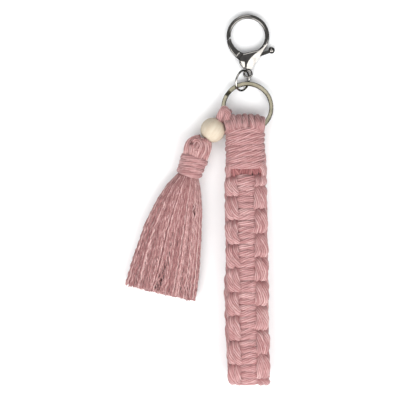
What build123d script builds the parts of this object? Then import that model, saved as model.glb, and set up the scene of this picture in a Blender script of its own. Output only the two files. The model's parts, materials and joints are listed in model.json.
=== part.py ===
from build123d import *

import math
import os

# Wristlet keychain lying flat on a table. +Y runs from the wrist loop to the clasp,
# +Z is up, and the table is at z = 0. All sizes are in millimetres.

# ---- driving dimensions -------------------------------------------------------------

CORD = 3.0                     # cotton cord, nominal diameter
GAP = 0.1                      # clearance between neighbours in one body

# Strap: its own frame has x across it, y along it towards the clasp, and its origin
# under the line that the split ring turns on.
STRAP_ORIGIN = (26.0, 42.3)
STRAP_LEAN = 0.92              # degrees, the foot of the strap swings to the right
STRAP_WIDTH = 24.0
STRAP_THICK = 6.4
KNOT_PITCH = 13.85
KNOT_LENGTH = 12.4
KNOTS_PER_ARM = 4              # each layer of the loop is two arms of four knots
KNOT_ROUNDING = 2.4
FOLD_CORE_INSET = 0.5          # extra shortening of the fold's filler cords at each end
CORE_WIDTH = 7.2
CORE_THICK = 2.4
CORE_REACH = 1.56              # from a hinge line to the rounded end's centre
CORE_PLAY = 0.05               # room round the filler cords in a knot's tunnel

HEAD_MIDDLE = 7.2              # height of the ring's pivot line and of the head's middle
WRAP_WIDTH = 22.5
WRAP_THICK = 14.2
WRAP_TOP = -4.0
WRAP_LENGTH = 19.8
WRAP_END = WRAP_TOP - WRAP_LENGTH
WRAP_TURNS = 6
WRAP_CORNER = 5.0
TURN_ROUNDING = 1.1            # of a turn's two rims
STRANDS_CORNER = 3.0
TONGUE_WIDTH = 12.9
TONGUE_OVERLAP = 3.0           # how far a tongue starts inside the bundle of strands
TONGUE_INSET = 1.6             # a tongue lies this much nearer the head's middle than its layer
LOOP_COUNT = 6
LOOP_PITCH = 3.2
LOOP_INNER = 4.1
LOOP_OUTER = 7.1
LOOP_ROUNDING = 1.0

STRAP_START = -26.8            # the hinge line where the wrist loop leaves the wrap
LOWER_MIDDLE = STRAP_THICK / 2
UPPER_START = 10.8             # height of the upper layer's middle where it leaves the wrap
FOLD_RADIUS = 8.8              # centreline of the fold at the foot of the wrist loop

# Split ring, standard 30 mm.
RING_OUTER = 15.0
RING_WIDTH = 2.35
RING_WIRE = 1.15
RING_TURN_GAP = 0.1
RING_REACH = 11.42             # from the pivot line to the ring's middle, in its own plane
RING_SHIFT = 1.64              # across the strap, from its middle to the ring's
RING_TILT = 8.85               # degrees, the ring's far side is lower
RING_END = 150.0               # degrees round the ring, where the wire ends
RING_RAMP = 14.0               # degrees over which the wire steps up one thickness
RING_CORNER = 0.4

# Jump ring: its long way is LONG_TURN degrees off +Y, and it leans TIP about that line.
JUMP_CENTRE = (24.7, 69.15, 5.3)
JUMP_RADIUS = 5.9
JUMP_WIRE = 0.57
JUMP_LONG_TURN = -13.5
JUMP_TIP = 52.0
JUMP_SPLIT = 0.12              # between the wire's two ends

# Lobster clasp: its own frame has its origin at the middle of the open ring.
CLASP_CENTRE = (27.8, 94.93, 2.5)
HOOK_OUTER = 12.3
HOOK_INNER = 9.95
HOOK_THICK = 3.0
CHEEK_THICK = 5.0
HOOK_ROUNDING = 0.85
CHEEK_ROUNDING = 0.8
FOOT_END = -18.95
SLOT = 1.9
PLATE = 1.7
PIVOT = (-1.87, -13.87)
PIN_RADIUS = 0.6
LEVER_ANGLE = 19.2
LEVER_LENGTH = 15.4
LEVER_HALF = 0.95
THUMB_RADIUS = 1.9
THUMB_AT = (13.64, -8.28)
GATE_TRAVEL = 25.0
GATE_CUT = 50.0                # degrees, slope of the joint at the hook's tip
TIP_JOINT = (-11.16, -1.8)     # a point on that joint
TIP_PLAY = 0.08                # room on each side of that joint
LEVER_PLAY = 0.2
ROOT_ROOM = 2.45               # radius of the room round the gate's root
GATE_HEEL = (4.6, 5.2)         # radii where the thick gate arm ends and its thin heel starts
EYE_RADIUS = 2.13
EYE_WIRE = 0.62
EYE_Y = 73.1
STEM_RADIUS = 0.75
STEM_HEAD = 1.25
STEM_HEAD_LENGTH = 0.8
STEM_POCKET = -17.2
RUNNING = 0.05                 # radial clearance of pins and stems
ROOT_RADIUS = 2.2              # of the gate, round its pin
SPRING_AT = (2.6, -15.2)
SPRING_RADIUS = 0.6
SPRING_WIRE = 0.2
SPRING_PITCH = 0.55
SPRING_LENGTH = 1.1
BLADE_TILT = 11.4              # degrees, slope of the two blades beside the clasp's ridge
BLADE_TURN = -31.5             # degrees from +X, the way the blades fall
BLADE_START = (4.04, -7.08)    # a point on the line where a blade leaves the cheek's face
NOTCH_START = (-5.6, -15.6)    # the same for the triangle between the foot's two legs
CUTTER = 60.0                  # size of the block that takes off what is above a blade

# Tassel.
BEAD_CENTRE = (7.56, 40.5, 7.2)
BEAD_RADIUS = 7.15
BEAD_BORE = 2.5
BEAD_EASE = 0.5
HANGER_RADIUS = 2.44
HANGER_END = 7.0               # past the bead's middle
TASSEL_ON_RING = 195.5         # degrees round the split ring
TASSEL_LOOP_RADIUS = 3.85
TASSEL_CORD = 1.1
TASSEL_NECK = (-2.77, 25.2, 7.3)      # middle of the binding's upper end
TASSEL_BINDING_TURN = -19.5           # degrees from straight down, towards -X
TASSEL_BINDING = 11.3
TASSEL_SKIRT_TOP = (-6.46, 14.5)
TASSEL_SKIRT_TURN = -13.3
TASSEL_HEAD_RADIUS = 7.2
TASSEL_HEAD_LENGTH = 12.0
TASSEL_INNER = 5.1
SKIRT_LIFT = 0.05              # between the skirt and the table
BEAD_CLEARANCE = 0.4
BINDING_TURNS = 4
# The skirt's sections: distance down, half width, half thickness, offset across.
SKIRT_SECTIONS = [
    (1.0, 6.9, 6.6, 0.0),
    (8.0, 10.8, 7.0, -1.2),
    (18.0, 14.2, 7.0, -1.8),
    (34.0, 17.8, 6.6, -1.9),
    (52.0, 19.8, 6.2, -0.9),
    (70.0, 20.9, 5.8, -0.2),
]


# ---- helpers ------------------------------------------------------------------------


def strap_place():
    """The strap's frame in the object's frame."""
    return Location((*STRAP_ORIGIN, 0), (0, 0, STRAP_LEAN))


def polar(radius, degrees, centre=(0, 0)):
    """A point at an angle round a centre in the plane."""
    angle = math.radians(degrees)
    return (centre[0] + radius * math.cos(angle), centre[1] + radius * math.sin(angle))


def slab(sketch, thickness):
    """A plate of the sketch, half above and half below its plane."""
    return extrude(sketch, amount=thickness / 2, both=True)


def soften(shape, edges, radius):
    """Rounds the edges, with a smaller radius where the full one does not fit."""
    for share in (1.0, 0.75, 0.5, 0.3):
        try:
            rounded = fillet(edges, radius * share)
        except Exception:
            continue
        if rounded.is_valid and abs(rounded.volume) > 0.3 * abs(shape.volume):
            return rounded
    return shape


# ---- wrist loop ---------------------------------------------------------------------

ARM = KNOTS_PER_ARM * KNOT_PITCH
FOLD_TOP = LOWER_MIDDLE + 2 * FOLD_RADIUS
UPPER_SLOPE = math.degrees(math.asin((FOLD_TOP - UPPER_START) / (2 * ARM)))
UPPER_RUN = 2 * ARM * math.cos(math.radians(UPPER_SLOPE))
FOLD_START = STRAP_START - UPPER_RUN


def upper_point(distance):
    """(y, z) on the upper layer's middle, from where it leaves the wrap."""
    angle = math.radians(UPPER_SLOPE)
    return (STRAP_START - distance * math.cos(angle), UPPER_START + distance * math.sin(angle))


HINGES = {
    "upper_start": (STRAP_START, UPPER_START),
    "upper_middle": upper_point(ARM),
    "fold_top": (FOLD_START, FOLD_TOP),
    "fold_bottom": (FOLD_START, LOWER_MIDDLE),
    "lower_middle": (FOLD_START + ARM, LOWER_MIDDLE),
    "lower_start": (FOLD_START + 2 * ARM, LOWER_MIDDLE),
}


def side_view(sketch, width):
    """A strap piece from its side view, drawn with y along the strap and z up."""
    plane = Plane(origin=(0, 0, 0), x_dir=(0, 1, 0), z_dir=(1, 0, 0))
    return extrude(plane * sketch, amount=width / 2, both=True)


def core_section(extra=0.0):
    """The filler cords' outline across the strap, in its x and z."""
    return Rectangle(CORE_WIDTH + 2 * extra, CORE_THICK + 2 * extra)


def straight_knot(middle, slope):
    """One square knot round the filler cords, level ended so that its neighbours can turn."""
    block = side_view(SlotOverall(KNOT_LENGTH, STRAP_THICK), STRAP_WIDTH)
    sides = block.faces().sort_by(Axis.X)
    edges = sides[0].edges() + sides[-1].edges()
    block = soften(block, edges, KNOT_ROUNDING)
    tunnel_plane = Plane(origin=(0, 0, 0), x_dir=(1, 0, 0), z_dir=(0, 1, 0))
    block -= extrude(tunnel_plane * core_section(CORE_PLAY), amount=KNOT_LENGTH, both=True)
    return Location((0, *middle), (-slope, 0, 0)) * block


def straight_core(start, end):
    """The filler cords of one arm, from hinge line to hinge line."""
    dy = end[0] - start[0]
    dz = end[1] - start[1]
    length = math.hypot(dy, dz)
    outline = SlotOverall(length - 2 * (CORE_REACH - CORE_THICK / 2), CORE_THICK)
    bar = side_view(outline, CORE_WIDTH)
    middle = ((start[0] + end[0]) / 2, (start[1] + end[1]) / 2)
    return Location((0, *middle), (math.degrees(math.atan2(dz, dy)), 0, 0)) * bar


def fold_axis():
    """The line that the fold curves round."""
    return Axis((0, FOLD_START, LOWER_MIDDLE + FOLD_RADIUS), (-1, 0, 0))


def fold_arc(section, start, sweep):
    """A section drawn at the lower layer, turned round the fold from its lower end."""
    plane = Plane(origin=(0, FOLD_START, LOWER_MIDDLE), x_dir=(1, 0, 0), z_dir=(0, -1, 0))
    solid = revolve(plane * section, axis=fold_axis(), revolution_arc=sweep)
    lift = Location((0, FOLD_START, LOWER_MIDDLE + FOLD_RADIUS))
    return lift * Rotation(-start, 0, 0) * lift.inverse() * solid


def fold_knot(index):
    """One of the two knots on the fold, counted from its lower end."""
    gap_angle = math.degrees((KNOT_PITCH - KNOT_LENGTH) / 2 / FOLD_RADIUS)
    section = RectangleRounded(STRAP_WIDTH, STRAP_THICK, KNOT_ROUNDING)
    tunnel = core_section(CORE_PLAY)
    return fold_arc(section - tunnel, index * 90 + gap_angle, 90 - 2 * gap_angle)


def fold_core():
    """The filler cords round the fold, between its two hinge lines."""
    inset = math.degrees((CORE_REACH - CORE_THICK / 2 + FOLD_CORE_INSET) / FOLD_RADIUS)
    return fold_arc(core_section(), inset, 180 - 2 * inset)


def arm_middles(start, end):
    """Middles of the four knots of one arm, counted from its start."""
    places = []
    for index in range(KNOTS_PER_ARM):
        share = (index + 0.5) / KNOTS_PER_ARM
        places.append(tuple(a + (b - a) * share for a, b in zip(start, end)))
    return places


def wrist_loop():
    """Knots and filler cords, by node name."""
    parts = {}
    arms = [
        ("upper_start", "upper_middle", UPPER_SLOPE),
        ("upper_middle", "fold_top", UPPER_SLOPE),
        ("fold_bottom", "lower_middle", 0.0),
        ("lower_middle", "lower_start", 0.0),
    ]
    number = 1
    for position, (start, end, slope) in enumerate(arms):
        if position == 2:
            for index in (1, 0):
                parts[f"knot_{number:02d}"] = fold_knot(index)
                number += 1
        for middle in arm_middles(HINGES[start], HINGES[end]):
            parts[f"knot_{number:02d}"] = straight_knot(middle, slope)
            number += 1
    parts["core_upper_near"] = straight_core(HINGES["upper_start"], HINGES["upper_middle"])
    parts["core_upper_far"] = straight_core(HINGES["upper_middle"], HINGES["fold_top"])
    parts["core_fold"] = fold_core()
    parts["core_lower_far"] = straight_core(HINGES["fold_bottom"], HINGES["lower_middle"])
    parts["core_lower_near"] = straight_core(HINGES["lower_middle"], HINGES["lower_start"])
    return parts


# ---- head of the strap --------------------------------------------------------------


def anchor_loop(index):
    """One cord folded over the split ring, with both its legs down to the wrap."""
    ring_side = Circle(LOOP_OUTER) - Circle(LOOP_INNER)
    arch = ring_side & Pos(LOOP_OUTER, 0) * Rectangle(2 * LOOP_OUTER, 2 * LOOP_OUTER)
    leg = Rectangle(-WRAP_TOP - GAP, LOOP_OUTER - LOOP_INNER, align=(Align.MAX, Align.MIN))
    outline = arch + Pos(0, LOOP_INNER) * leg + Pos(0, -LOOP_OUTER) * leg
    loop = side_view(outline, LOOP_PITCH - GAP)
    sides = loop.faces().sort_by(Axis.X)
    loop = soften(loop, sides[0].edges() + sides[-1].edges(), LOOP_ROUNDING)
    across = RING_SHIFT + (index - (LOOP_COUNT - 1) / 2) * LOOP_PITCH
    return Pos(across, 0, HEAD_MIDDLE) * loop


def wrap_cord():
    """The cord wound round the head, as a sleeve with one rib for each turn."""
    turn = WRAP_LENGTH / WRAP_TURNS
    plane = Plane(origin=(0, 0, HEAD_MIDDLE), x_dir=(1, 0, 0), z_dir=(0, 1, 0))
    inner = RectangleRounded(WRAP_WIDTH - 2 * CORD, WRAP_THICK - 2 * CORD, STRANDS_CORNER)
    outline = RectangleRounded(WRAP_WIDTH, WRAP_THICK, WRAP_CORNER)
    sleeve = None
    for index in range(WRAP_TURNS):
        rib = extrude(plane.offset(WRAP_END + index * turn) * outline, amount=turn)
        ends = rib.faces().sort_by(Axis.Y)
        rib = soften(rib, ends[0].edges() + ends[-1].edges(), TURN_ROUNDING)
        sleeve = rib if sleeve is None else sleeve + rib
    return sleeve - extrude(plane.offset(WRAP_END - 1) * inner, amount=WRAP_LENGTH + 2)


def head_strands():
    """The cords inside the wrap, and their two tongues to the layers of the wrist loop."""
    plane = Plane(origin=(0, WRAP_END, HEAD_MIDDLE), x_dir=(1, 0, 0), z_dir=(0, 1, 0))
    width = WRAP_WIDTH - 2 * CORD - GAP
    packed = RectangleRounded(width, WRAP_THICK - 2 * CORD - GAP, STRANDS_CORNER - GAP)
    bundle = extrude(plane * packed, amount=WRAP_LENGTH)
    tip = STRAP_START + CORE_REACH - CORE_THICK / 2
    root = WRAP_END + TONGUE_OVERLAP
    for height in (LOWER_MIDDLE + TONGUE_INSET, UPPER_START - TONGUE_INSET):
        outline = SlotOverall(root - tip, CORE_THICK)
        tongue = side_view(outline, TONGUE_WIDTH)
        bundle += Pos(0, (root + tip) / 2, height) * tongue
    return bundle


# ---- split ring ---------------------------------------------------------------------


def ring_place():
    """The split ring's frame: x and y in its plane, origin at its middle."""
    tilt = Location((0, 0, HEAD_MIDDLE), (-RING_TILT, 0, 0))
    return strap_place() * tilt * Location((RING_SHIFT, RING_REACH, 0))


def split_ring():
    """Flat wire wound twice, with one step from the lower turn to the upper turn."""
    step = RING_WIRE + RING_TURN_GAP
    middle = RING_OUTER - RING_WIDTH / 2
    section = RectangleRounded(RING_WIDTH, RING_WIRE, RING_CORNER)
    front = Plane(origin=(0, 0, 0), x_dir=(1, 0, 0), z_dir=(0, -1, 0))
    turn = revolve(front * Pos(middle, 0) * section, axis=Axis.Z, revolution_arc=360 - RING_RAMP)
    ring = None
    for side in (-1, 1):
        placed = Pos(0, 0, side * step / 2) * turn
        ring = placed if ring is None else ring + placed
    ends = []
    for share in (0.0, 0.5, 1.0):
        angle = -RING_RAMP * (1 - share)
        height = step * (share - 0.5)
        face = Location((0, 0, height), (0, 0, angle)) * (front * Pos(middle, 0) * section)
        ends.append(face)
    ring += loft(ends)
    return ring_place() * Rotation(0, 0, RING_END) * ring


# ---- jump ring and clasp ------------------------------------------------------------


def jump_place():
    """The jump ring's frame: y is its long way, and it leans about that line."""
    return Location(JUMP_CENTRE) * Rotation(0, 0, JUMP_LONG_TURN) * Rotation(0, JUMP_TIP, 0)


def jump_ring():
    """Round wire bent to a ring, its two ends butted with a hair of a gap."""
    ring = Torus(JUMP_RADIUS, JUMP_WIRE)
    ring -= Pos(0, -JUMP_RADIUS, 0) * Box(JUMP_SPLIT, 4 * JUMP_WIRE, 4 * JUMP_WIRE)
    return jump_place() * ring


def swivel_eye():
    """The eye, its stem, and the head that holds the stem in the clasp's foot."""
    lift = EYE_Y - CLASP_CENTRE[1]
    eye = Pos(0, lift, 0) * Torus(EYE_RADIUS, EYE_WIRE)
    along = Plane(origin=(0, lift + EYE_RADIUS, 0), x_dir=(1, 0, 0), z_dir=(0, 1, 0))
    stem_length = STEM_POCKET - (lift + EYE_RADIUS) + RUNNING
    eye += extrude(along * Circle(STEM_RADIUS), amount=stem_length)
    eye += extrude(along.offset(stem_length) * Circle(STEM_HEAD), amount=STEM_HEAD_LENGTH)
    return Pos(*CLASP_CENTRE) * eye


def gate_side(offset):
    """The part of the clasp's outline that lies on the gate's side of the tip joint."""
    slope = (math.cos(math.radians(GATE_CUT)), math.sin(math.radians(GATE_CUT)))
    tip = (TIP_JOINT[0] + offset * slope[1], TIP_JOINT[1] - offset * slope[0])
    low = (tip[0] - 4 * slope[0], tip[1] - 4 * slope[1])
    high = (tip[0] + 4 * slope[0], tip[1] + 4 * slope[1])
    return make_face(Polyline(low, high, (2, high[1]), (2, -22), (-16, -22), close=True))


def slot_outline():
    """The gap between the cheeks, where the gate's root and its lever turn."""
    half = LEVER_HALF + LEVER_PLAY
    closed = Location((*PIVOT, 0), (0, 0, LEVER_ANGLE))
    pressed = Location((*PIVOT, 0), (0, 0, LEVER_ANGLE - GATE_TRAVEL - 1))
    corners = [
        (closed * Pos(0, half)).position,
        (closed * Pos(16, half)).position,
        (pressed * Pos(16, -half)).position,
        (pressed * Pos(0, -half)).position,
    ]
    lever_room = make_face(Polyline(*[(p.X, p.Y) for p in corners], close=True))
    root_room = Pos(*PIVOT) * Circle(ROOT_ROOM)
    gate_room = make_face(
        Polyline(PIVOT, polar(6, 72, PIVOT), (-13, -5), (-13, -16.4), (PIVOT[0], -16.3), close=True)
    )
    return lever_room + root_room + gate_room


def above_slope(start):
    """Everything above a plane that leaves the upper cheek's face at start and falls away."""
    place = Location((*start, CHEEK_THICK / 2), (0, 0, BLADE_TURN))
    block = Box(CUTTER, CUTTER, CUTTER, align=(Align.CENTER, Align.CENTER, Align.MIN))
    return place * Rotation(0, BLADE_TILT, 0) * block


def blade_cut():
    """What is taken off the upper cheek's right side, down to a sloping blade."""
    beside_ridge = make_face(Polyline(
        (11.6, -3.4), (10.0, -5.5), (8.5, -7.0), (5.6, -9.3), (3.6, -10.9), (1.9, -12.5),
        (0.5, -14.3), (-0.5, -16.3), (-1.0, -21.0), (6.0, -21.0), (15.0, -12.0), (15.0, -3.4),
        close=True,
    ))
    return extrude(beside_ridge, amount=CUTTER) & above_slope(BLADE_START)


def foot_notch():
    """The shallow sloping triangle between the two legs of the foot, on the upper cheek."""
    outline = Polyline((-4.3, -14.6), (-1.7, -15.0), (-1.3, -18.0), (-2.3, -18.4), close=True)
    return extrude(make_face(outline), amount=CUTTER) & above_slope(NOTCH_START)


def clasp_body():
    """Open hook ring on two cheeks that are joined at the foot."""
    band = Circle(HOOK_OUTER) - Circle(HOOK_INNER)
    lower_right = make_face(Polyline((2, -22), (2, -1), (0, 0), (20, -15), (20, -22), close=True))
    hook = slab(band - gate_side(-TIP_PLAY) - lower_right, HOOK_THICK)
    hook = soften(hook, hook.edges().filter_by(GeomType.CIRCLE), HOOK_ROUNDING)
    right_flank = Spline(
        (11.4, -4.6), (9.55, -7.36), (7.6, -10.5), (5.7, -13.6), (3.9, -16.3), (2.3, FOOT_END)
    )
    left_flank = Polyline(
        (2.3, FOOT_END), (-2.5, FOOT_END), (-4.9, -15.9), (-4.9, -12.8), (-3.14, -10.3)
    )
    brow = Line((-3.14, -10.3), (5.6, -8.2))
    inner = ThreePointArc((5.6, -8.2), polar(HOOK_INNER, -47), polar(HOOK_INNER, -30))
    close = Line(polar(HOOK_INNER, -30), (11.4, -4.6))
    cheeks = slab(make_face([right_flank, left_flank, brow, inner, close]), CHEEK_THICK)
    rims = cheeks.faces().sort_by(Axis.Z)
    cheeks = soften(cheeks, rims[0].edges() + rims[-1].edges(), CHEEK_ROUNDING)
    for cut in (blade_cut(), foot_notch()):
        cheeks -= cut
        cheeks -= mirror(cut, about=Plane.XY)
    body = cheeks + hook
    body -= slab(slot_outline(), SLOT)
    along = Plane(origin=(0, FOOT_END - 1, 0), x_dir=(1, 0, 0), z_dir=(0, 1, 0))
    body -= extrude(along * Circle(STEM_RADIUS + RUNNING), amount=4)
    pocket = along.offset(STEM_POCKET - FOOT_END + 1)
    body -= extrude(pocket * Circle(STEM_HEAD + 0.1), amount=STEM_HEAD_LENGTH + 0.2)
    body -= Pos(*PIVOT) * Cylinder(PIN_RADIUS, 2 * CHEEK_THICK)
    return Pos(*CLASP_CENTRE) * body


def clasp_gate():
    """Curved gate, its root on the pin, and the thumb lever through the flank."""
    outer = ThreePointArc((-12.15, -1.9), (-11.25, -6.0), (-9.0, -9.9))
    heel = Polyline((-9.0, -9.9), (-7.3, -11.9), (-4.4, -14.6), PIVOT, (-2.5, -10.0))
    inner = ThreePointArc((-2.5, -10.0), polar(HOOK_INNER, 223), (-9.82, -1.6))
    top = Line((-9.82, -1.6), (-12.15, -1.9))
    arm = make_face([outer, heel, inner, top]) & gate_side(TIP_PLAY)
    root = Pos(*PIVOT) * Circle(GATE_HEEL[0])
    arm_thick = slab(arm - root, HOOK_THICK)
    rims = arm_thick.faces().sort_by(Axis.Z)
    arm_thick = soften(arm_thick, rims[0].edges() + rims[-1].edges(), CHEEK_ROUNDING)
    lever_bar = Pos(LEVER_LENGTH / 2, 0) * Rectangle(LEVER_LENGTH, 2 * LEVER_HALF)
    lever = Location((*PIVOT, 0), (0, 0, LEVER_ANGLE)) * lever_bar
    heel_plate = arm & Pos(*PIVOT) * Circle(GATE_HEEL[1])
    plate = slab(Pos(*PIVOT) * Circle(ROOT_RADIUS) + lever + heel_plate, PLATE)
    gate = arm_thick + plate + Pos(*THUMB_AT) * Sphere(THUMB_RADIUS)
    gate -= Pos(*PIVOT) * Cylinder(PIN_RADIUS + RUNNING, 2 * CHEEK_THICK)
    return Pos(*CLASP_CENTRE) * gate


def gate_pivot_pin():
    """The rivet through both cheeks and the gate's root."""
    pin = Cylinder(PIN_RADIUS, CHEEK_THICK)
    return Pos(*CLASP_CENTRE) * Pos(*PIVOT) * pin


def gate_spring():
    """Small coil spring between the lever and the foot, inside the slot."""
    coil = Helix(pitch=SPRING_PITCH, height=SPRING_LENGTH, radius=SPRING_RADIUS)
    wire = sweep(Plane(origin=coil @ 0, z_dir=coil % 0) * Circle(SPRING_WIRE), path=coil)
    stand = Location((*SPRING_AT, 0), (-90, 0, 0))
    return Pos(*CLASP_CENTRE) * stand * wire


# ---- tassel -------------------------------------------------------------------------


def tassel_contact():
    """Middle of the split ring's section where the tassel hangs."""
    middle = RING_OUTER - RING_WIDTH / 2
    return (ring_place() * Pos(*polar(middle, TASSEL_ON_RING))).position


def hanger_direction():
    """Level direction from the split ring to the bead, in degrees from +X."""
    start = tassel_contact()
    return math.degrees(math.atan2(BEAD_CENTRE[1] - start.Y, BEAD_CENTRE[0] - start.X))


def hanger_cord():
    """The cord looped on the ring, with its two legs through the bead as one stretch."""
    start = tassel_contact()
    turn = Rotation(0, 0, hanger_direction())
    loop = Location(start) * turn * Rotation(90, 0, 0) * Torus(TASSEL_LOOP_RADIUS, TASSEL_CORD)
    reach = math.hypot(BEAD_CENTRE[0] - start.X, BEAD_CENTRE[1] - start.Y)
    along = Location(BEAD_CENTRE) * turn
    begin = TASSEL_LOOP_RADIUS + TASSEL_CORD - 0.9 - reach
    legs = Rotation(0, 90, 0) * Cylinder(HANGER_RADIUS, HANGER_END - begin)
    return loop + along * Pos((begin + HANGER_END) / 2, 0, 0) * legs


def wooden_bead():
    """Round bead with a straight bore and eased bore edges."""
    turn = Rotation(0, 0, hanger_direction()) * Rotation(0, 90, 0)
    bead = Sphere(BEAD_RADIUS) - Cylinder(BEAD_BORE, 4 * BEAD_RADIUS)
    mouths = bead.edges().filter_by(GeomType.CIRCLE)
    return Location(BEAD_CENTRE) * turn * soften(bead, mouths, BEAD_EASE)


def binding_place():
    """The binding's frame: -y runs down the tassel from the binding's upper end."""
    return Location(TASSEL_NECK, (0, 0, TASSEL_BINDING_TURN))


def turned(outline, place):
    """A round piece from its half outline, drawn with x outwards and y up the tassel."""
    return place * revolve(outline, axis=Axis.Y, revolution_arc=360)


def tassel_head():
    """The folded strands above the binding, and their neck inside it."""
    radius = TASSEL_HEAD_RADIUS
    shoulder = (radius, 0.7 * TASSEL_HEAD_LENGTH - 2.5)
    crown = RadiusArc(shoulder, (0, TASSEL_HEAD_LENGTH), -radius - 1.0)
    path = Polyline(
        (0, TASSEL_HEAD_LENGTH),
        (0, -TASSEL_BINDING + GAP),
        (TASSEL_INNER, -TASSEL_BINDING + GAP),
        (TASSEL_INNER, GAP),
        (radius - 0.8, GAP),
        (radius, 1.2),
        shoulder,
    )
    head = turned(make_face([crown, path]), binding_place())
    return head - Location(BEAD_CENTRE) * Sphere(BEAD_RADIUS + BEAD_CLEARANCE)


def tassel_binding():
    """The cord bound round the tassel's neck, one rib for each turn."""
    rib = TASSEL_BINDING / BINDING_TURNS
    band = None
    for index in range(BINDING_TURNS):
        middle = -(index + 0.5) * rib
        ring = Pos(TASSEL_HEAD_RADIUS - 0.05 - rib / 2, middle) * Circle(rib / 2 - 0.01)
        core = Pos((TASSEL_INNER + TASSEL_HEAD_RADIUS - 1.2) / 2 + 0.05, middle) * Rectangle(
            TASSEL_HEAD_RADIUS - 1.2 - TASSEL_INNER, rib
        )
        ring = ring & Pos(TASSEL_INNER + 0.05 + 5, middle) * Rectangle(10, rib)
        band = ring + core if band is None else band + ring + core
    return turned(band, binding_place())


def tassel_skirt():
    """The cut fringe, round at the neck and spread flat at its hem."""
    place = Location((*TASSEL_SKIRT_TOP, 0), (0, 0, TASSEL_SKIRT_TURN))
    faces = []
    for down, half_width, half_thick, across in SKIRT_SECTIONS:
        middle = (across, -down, half_thick + SKIRT_LIFT)
        plane = Plane(origin=middle, x_dir=(1, 0, 0), z_dir=(0, -1, 0))
        faces.append(plane * Ellipse(half_width, half_thick))
    return place * loft(faces)


# ---- the whole object ---------------------------------------------------------------


def build():
    """Every node of the object in its design place."""
    parts = {}
    strap = strap_place()
    for name, shape in wrist_loop().items():
        parts[name] = strap * shape
    for index in range(LOOP_COUNT):
        parts[f"anchor_loop_{index + 1}"] = strap * anchor_loop(index)
    parts["wrap_cord"] = strap * wrap_cord()
    parts["head_strands"] = strap * head_strands()
    parts["split_ring"] = split_ring()
    parts["jump_ring"] = jump_ring()
    parts["swivel_eye"] = swivel_eye()
    parts["clasp_body"] = clasp_body()
    parts["clasp_gate"] = clasp_gate()
    parts["gate_pivot_pin"] = gate_pivot_pin()
    parts["gate_spring"] = gate_spring()
    parts["hanger_cord"] = hanger_cord()
    parts["wooden_bead"] = wooden_bead()
    parts["tassel_head"] = tassel_head()
    parts["tassel_binding"] = tassel_binding()
    parts["tassel_skirt"] = tassel_skirt()
    return parts


def origin_shift(parts):
    """The move that puts the origin under the middle of the whole object."""
    boxes = [shape.bounding_box() for shape in parts.values()]
    low_x = min(box.min.X for box in boxes)
    high_x = max(box.max.X for box in boxes)
    low_y = min(box.min.Y for box in boxes)
    high_y = max(box.max.Y for box in boxes)
    low_z = min(box.min.Z for box in boxes)
    return (-(low_x + high_x) / 2, -(low_y + high_y) / 2, -low_z)


parts = build()
shift = origin_shift(parts)
os.makedirs("parts", exist_ok=True)
for name, shape in parts.items():
    export_step(Pos(*shift) * shape, f"parts/{name}.step")
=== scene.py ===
import json
import math

import bpy
import numpy as np
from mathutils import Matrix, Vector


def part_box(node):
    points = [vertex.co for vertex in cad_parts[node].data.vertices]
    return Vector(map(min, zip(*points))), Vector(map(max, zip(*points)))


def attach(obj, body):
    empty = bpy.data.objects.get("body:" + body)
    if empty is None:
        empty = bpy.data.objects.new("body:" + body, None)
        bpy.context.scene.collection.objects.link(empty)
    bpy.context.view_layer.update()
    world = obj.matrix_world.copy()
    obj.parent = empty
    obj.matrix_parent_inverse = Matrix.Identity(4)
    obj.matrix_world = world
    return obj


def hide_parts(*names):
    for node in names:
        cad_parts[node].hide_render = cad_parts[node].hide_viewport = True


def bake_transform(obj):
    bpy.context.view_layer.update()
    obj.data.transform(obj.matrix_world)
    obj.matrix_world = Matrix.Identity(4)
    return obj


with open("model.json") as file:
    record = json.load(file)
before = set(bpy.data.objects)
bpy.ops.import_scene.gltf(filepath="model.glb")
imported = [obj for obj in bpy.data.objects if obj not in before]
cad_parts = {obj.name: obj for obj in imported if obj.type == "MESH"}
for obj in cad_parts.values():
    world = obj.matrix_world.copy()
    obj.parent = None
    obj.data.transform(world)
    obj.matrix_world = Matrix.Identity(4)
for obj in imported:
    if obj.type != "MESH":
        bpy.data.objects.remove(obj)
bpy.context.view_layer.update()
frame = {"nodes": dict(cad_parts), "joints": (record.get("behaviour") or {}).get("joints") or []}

# Shapes are worked out in millimetres and written to the meshes in metres.
MM = 0.001
JOINTS = {joint["name"]: joint for joint in frame["joints"]}
rng = np.random.default_rng(11)


def vec(*values):
    """The values as an array of floats."""
    return np.array(values, float)


def joint_at(name):
    """A joint's place, in millimetres."""
    return vec(*JOINTS[name]["pos_m"]) / MM


def box_mm(node):
    """A CAD node's lowest and highest corners, in millimetres."""
    low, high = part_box(node)
    return vec(*low) / MM, vec(*high) / MM


def unit(vector):
    """The vector at length 1."""
    return vector / np.linalg.norm(vector)


# ---- cord meshes --------------------------------------------------------------------

LAY = -0.24                    # radians a millimetre: the yarns' left-handed twist
PULLED_LAY = -0.16             # where the cord is pulled tight across the strap or the head
TURN = 2 * math.pi
CURVE_SAMPLES = 12             # between two points of a route, before even sampling
CORD_SWELL = 0.03              # how much a cord's thickness varies along it, as a share
YARN_WANDER = 0.12             # how far the yarns' twist strays, in radians
YARN_PROUD = 0.3               # how unevenly the yarns stand out of the cord
YARN_CROWN = 0.25              # lifts a yarn's top, so that grooves don't thin the cord
# Painted shade at the ends of a cord:
TIP_SHADE = 1.25               # more than 1 keeps a stretch at each tip fully dark
TABLE_GAP = 0.02               # between the table and the lowest point of a cord


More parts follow.
